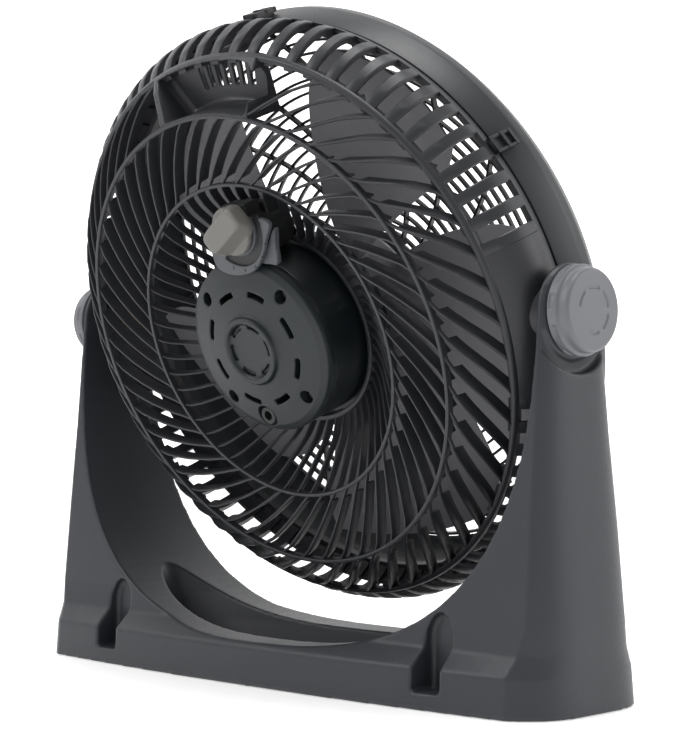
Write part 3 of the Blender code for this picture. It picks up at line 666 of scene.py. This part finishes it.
# --- motor and switch ---------------------------------------------------------------------
def make_motor():
    """The rear cap with its slots, screw holes and gland hole, and the barrel below it."""
    face = [(0, 64.5), (16.8, 64.5), (18.6, 67.0), (21.6, 67.0), (23.0, 63.9), (40.0, 61.2), (52.5, 58.2),
            (56.6, 56.0), (57.6, 53.2), (57.6, 49.5), (0, 49.5)]
    cap = solid("motor_cover", [spin(face, 128)])
    cutters = []
    for k in range(8):
        phi = 45.0 + 90.0 * (k // 2) + (23.5 if k % 2 else -23.5)
        slot = box_outline(CAP_SLOT_CIRCLE - 1.8, CAP_SLOT_CIRCLE + 1.8, *CAP_CUT)
        cutters.append(solid("cut_slot", [spin(slot, 6, phi - 11.0, phi + 11.0)]))
    for k in range(4):
        screw = on_head(0, CAP_HOLE_CIRCLE, 45.0 + 90.0 * k)
        cutters.append(solid("cut_hole", [peg(screw, 4.3, *CAP_CUT)]))
    for k in range(6):
        arc = box_outline(14.6, 17.2, 62.4, CAP_CUT[1])
        cutters.append(solid("cut_boss_arc", [spin(arc, 8, 60.0 * k + 6.0, 60.0 * k + 44.0)]))
    gland = on_head(0, CAP_HOLE_CIRCLE, GLAND_ANGLE)
    cutters.append(solid("cut_gland", [peg(gland, 7.4, *CAP_CUT)]))
    mould(cap, cutters, voxel=0.6, rounds=2)
    settle(cap, "motor_cap_plastic", "head", "motor_rear_cap", sharp=None)

    r = MOTOR_RADIUS
    barrel = [(r - 2.5, 49.2), (r - 0.6, 49.2), (r - 0.2, 48.0), (r - 0.2, 30.0), (r, 29.4), (r, -3.0),
              (r - 1.0, -4.0), (r - 2.5, -4.0)]
    settle(solid("motor_can", [spin(barrel, 128)]), "motor_barrel_paint", "head", "motor_barrel")


def dial_arc(low, high, first, last):
    """Arc-shaped body round the speed knob, between two heights and two angles."""
    sections = []
    for k in range(31):
        a = radians(mix(first, last, k / 30))
        outline = box_outline(*DIAL_RECESS, low, high)
        sections.append([(KNOB_CENTRE.x + r * sin(a), y, KNOB_CENTRE.z + r * cos(a)) for r, y in outline])
    return sections, False


def make_switch_pod():
    centre = (KNOB_CENTRE.x, KNOB_CENTRE.z)
    outline = loop_curve([(14.2, 59.5), (11.0, 52.8), (-1.5, 48.6), (-18.0, 50.4), (-29.5, 59.5),
                          (-37.0, 71.0), (-43.0, 79.8), (-37.5, 83.6), (-28.0, 84.5), (-15.0, 87.0),
                          (0.0, 86.0), (9.0, 79.0), (12.5, 69.0)], 130)
    levels = [(59.0, 0.6), (59.4, 0.0), (61.8, 0.0), (POD_FACE, 0.7)]
    plate = solid("dial_plate", [prism(outline, levels, centre)])
    recess = solid("cut_dial_recess", [dial_arc(60.4, 66.0, 140.0, 292.0)])
    mould(plate, [recess], voxel=0.45, rounds=2)
    settle(plate, "pod_plastic", "head", "switch_pod", sharp=None)
    # Painted shade: a black arc strip laid in the recess round the speed knob, standing in for the shadow
    # that falls in the knob's well
    floor = solid("dial_recess_painted_shade", [dial_arc(60.0, 61.0, 141.0, 291.0)])
    settle(floor, "black_plastic", "head")

    ticks = []
    base = Vector((KNOB_CENTRE.x, 0, KNOB_CENTRE.z))
    corners = ((-1, POD_FACE - 0.3), (1, POD_FACE - 0.3), (1, POD_FACE + 0.15), (-1, POD_FACE + 0.15))
    for k in range(5):
        a = radians(158.0 + 22.0 * k)
        way, side = Vector((sin(a), 0, cos(a))), Vector((cos(a), 0, -sin(a))) * 0.45
        sections = []
        for reach in (25.0, 27.2):
            place = base + way * reach
            sections.append([place + side * share + Vector((0, y, 0)) for share, y in corners])
        ticks.append((sections, False))
    settle(solid("dial_ticks", ticks), "black_plastic", "head")

    stem = loop_curve([(6, 62), (-4, 55), (-18, 56), (-27, 66), (-27, 80), (-14, 88), (0, 84), (6, 74)], 60)
    body = solid("switch_housing", [prism(stem, [(26.0, 2.0), (57.2, 0.0)], centre)])
    barrel_space = solid("cut_barrel", [spin(box_outline(0, MOTOR_RADIUS, 0.0, 80.0), 96)])
    mould(body, [barrel_space], voxel=0.6, rounds=2)
    settle(body, "black_plastic", "head", sharp=None)

    fin = loop_curve([(-42.0, 76.5), (-32.5, 65.5), (-23.5, 55.5), (-30.0, 53.5), (-37.0, 53.6),
                      (-39.5, 65.0)], 48)
    levels = [(54.6, 0.5), (57.2, 0.0), (58.4, 0.8)]
    settle(solid("housing_wedge", [prism(fin, levels, (-34.0, 61.0))]), "pod_plastic", "head")


def make_speed_knob():
    """Round skirt that tapers up to a straight grip bar."""
    centre = Vector((KNOB_CENTRE.x, 0, KNOB_CENTRE.z))
    length_way = Vector((-0.848, 0, 0.530))
    width_way = Vector((0.530, 0, 0.848))
    # each level: height, half length, half width, power of its outline, shift along both ways
    skirt = [(63.1, 14.8, 14.8, 2.0, 0.0), (63.9, 15.5, 15.5, 2.0, 0.0), (66.2, 15.5, 15.5, 2.0, 0.0),
             (67.0, 14.8, 14.8, 2.0, 0.0)]
    ridge = [(63.5, 17.6, 12.6, 3.0, 0.4), (66.0, 17.8, 12.0, 3.6, 0.8), (69.0, 17.8, 10.4, 4.5, 1.2),
             (74.2, 17.6, 7.8, 5.0, 1.8), (75.4, 16.8, 7.0, 4.5, 1.8), (75.9, 15.2, 5.8, 4.0, 1.8)]
    bodies = []
    for levels in (skirt, ridge):
        sections = []
        for y, half_length, half_width, power, shift in levels:
            section = []
            for k in range(96):
                turn = 2 * pi * k / 96
                a = half_length * signed_power(cos(turn), power) + shift
                b = half_width * signed_power(sin(turn), power) + shift
                section.append(centre + length_way * a + width_way * b + Vector((0, y, 0)))
            sections.append(section)
        bodies.append((sections, False))
    knob = solid("speed_dial", bodies)
    mould(knob, [], voxel=0.35, rounds=2)
    settle(knob, "knob_plastic_light", "speed_knob", "speed_knob", sharp=None)


# --- impeller -----------------------------------------------------------------------------
def blade(index):
    """A swept, cambered blade that thins towards its edges."""
    sections = []
    for k in range(19):
        t = k / 18
        radius = mix(HUB_RADIUS - 1.2, BLADE_RADIUS, t)
        round_tip = 1.0 - 0.18 * max(0.0, (t - 0.75) / 0.25) ** 2
        half = mix(31.0, 27.0, t) * round_tip
        centre = FIRST_BLADE + 360.0 * index / BLADES + 14.0 * (t - 0.5)
        rise = mix(34.0, 26.0, t)
        back, front = [], []
        for j in range(15):
            u = j / 14
            axial = -28.0 + rise * (u - 0.5) - 5.0 * sin(pi * u)
            thick = 0.35 + 0.95 * sin(pi * u) ** 0.6
            phi = centre + mix(-half, half, u)
            back.append(on_head(axial + thick, radius, phi))
            front.append(on_head(axial - thick, radius, phi))
        sections.append(back + front[::-1])
    return sections, False


def make_impeller():
    hub = [(39.5, -7.0), (HUB_RADIUS, -7.0), (HUB_RADIUS, -48.0), (40.4, -51.6), (37.0, -53.0), (5.0, -53.0),
           (5.0, -50.0), (36.0, -50.0), (39.5, -46.5)]
    bodies = [spin(rounded(hub, 0.5), 96)] + [blade(i) for i in range(BLADES)]
    settle(solid("fan_blades", bodies), "impeller_plastic", "impeller", "impeller", sharp=50)


# --- remaining CAD nodes, floor, light and camera ------------------------------------------
def dress_cad_nodes():
    for entry in frame["record"]["subparts"]:
        node = frame["nodes"][entry["node"]]
        node.data.materials.clear()
        node.data.materials.append(LOOKS[entry["material_slot"]])


def add_sheet(name, size, location, facing, glow):
    """A pale sheet of the studio, with a little light of its own."""
    bm = bmesh.new()
    bmesh.ops.create_grid(bm, x_segments=1, y_segments=1, size=size / 2)
    mesh = bpy.data.meshes.new(name)
    bm.to_mesh(mesh)
    bm.free()
    sheet = bpy.data.objects.new(name, mesh)
    sheet.location = location
    sheet.rotation_euler = Vector(facing).to_track_quat("Z", "Y").to_euler()
    bpy.context.scene.collection.objects.link(sheet)
    look, shader = new_look(name, "f4f4f4", 0.6)
    finish_surface(look, shader, "f4f4f4", 0.6, 0.01, 60.0, 0.02)
    shader.inputs["Emission Color"].default_value = WHITE
    shader.inputs["Emission Strength"].default_value = glow
    mesh.materials.append(look)


def add_light(name, location, size, power, target=(0.0, 0.0, 0.22)):
    data = bpy.data.lights.new(name, "AREA")
    data.size = size
    data.energy = power
    light = bpy.data.objects.new(name, data)
    light.location = location
    light.rotation_euler = (Vector(target) - Vector(location)).to_track_quat("-Z", "Y").to_euler()
    bpy.context.scene.collection.objects.link(light)


def make_stage():
    bpy.context.scene.view_settings.view_transform = "Standard"
    add_sheet("floor", 40.0, (0.0, 0.0, -0.0004), (0, 0, 1), 0.35)
    add_sheet("backdrop", 16.0, (2.6, -2.7, 0.0), [-c for c in CAMERA_WAY], 0.9)
    world = bpy.data.worlds.new("studio")
    world.use_nodes = True
    background = world.node_tree.nodes["Background"]
    background.inputs["Color"].default_value = WHITE
    background.inputs["Strength"].default_value = 0.45
    bpy.context.scene.world = world
    add_light("key", (0.9, 1.5, 1.5), 1.0, 15.0)
    add_light("rim", (-1.3, -0.9, 0.8), 1.0, 8.0)
    add_light("top", (-0.2, 0.1, 1.9), 0.8, 14.0)

    camera = bpy.data.cameras.new("camera")
    camera.sensor_width = 36.0
    camera.lens = 103.95
    holder = bpy.data.objects.new("camera", camera)
    holder.location = CAMERA_PLACE
    holder.rotation_euler = Vector(CAMERA_WAY).to_track_quat("-Z", "Y").to_euler()
    bpy.context.scene.collection.objects.link(holder)
    bpy.context.scene.camera = holder


dress_cad_nodes()
make_stand()
for SIDE, WORD in ((-1, "left"), (1, "right")):
    make_tilt_knob(SIDE, WORD)
make_guard_bars()
make_guard_rings()
make_side_wall()
make_grip()
make_front()
make_clips()
make_motor()
make_switch_pod()
make_speed_knob()
make_impeller()
make_stage()
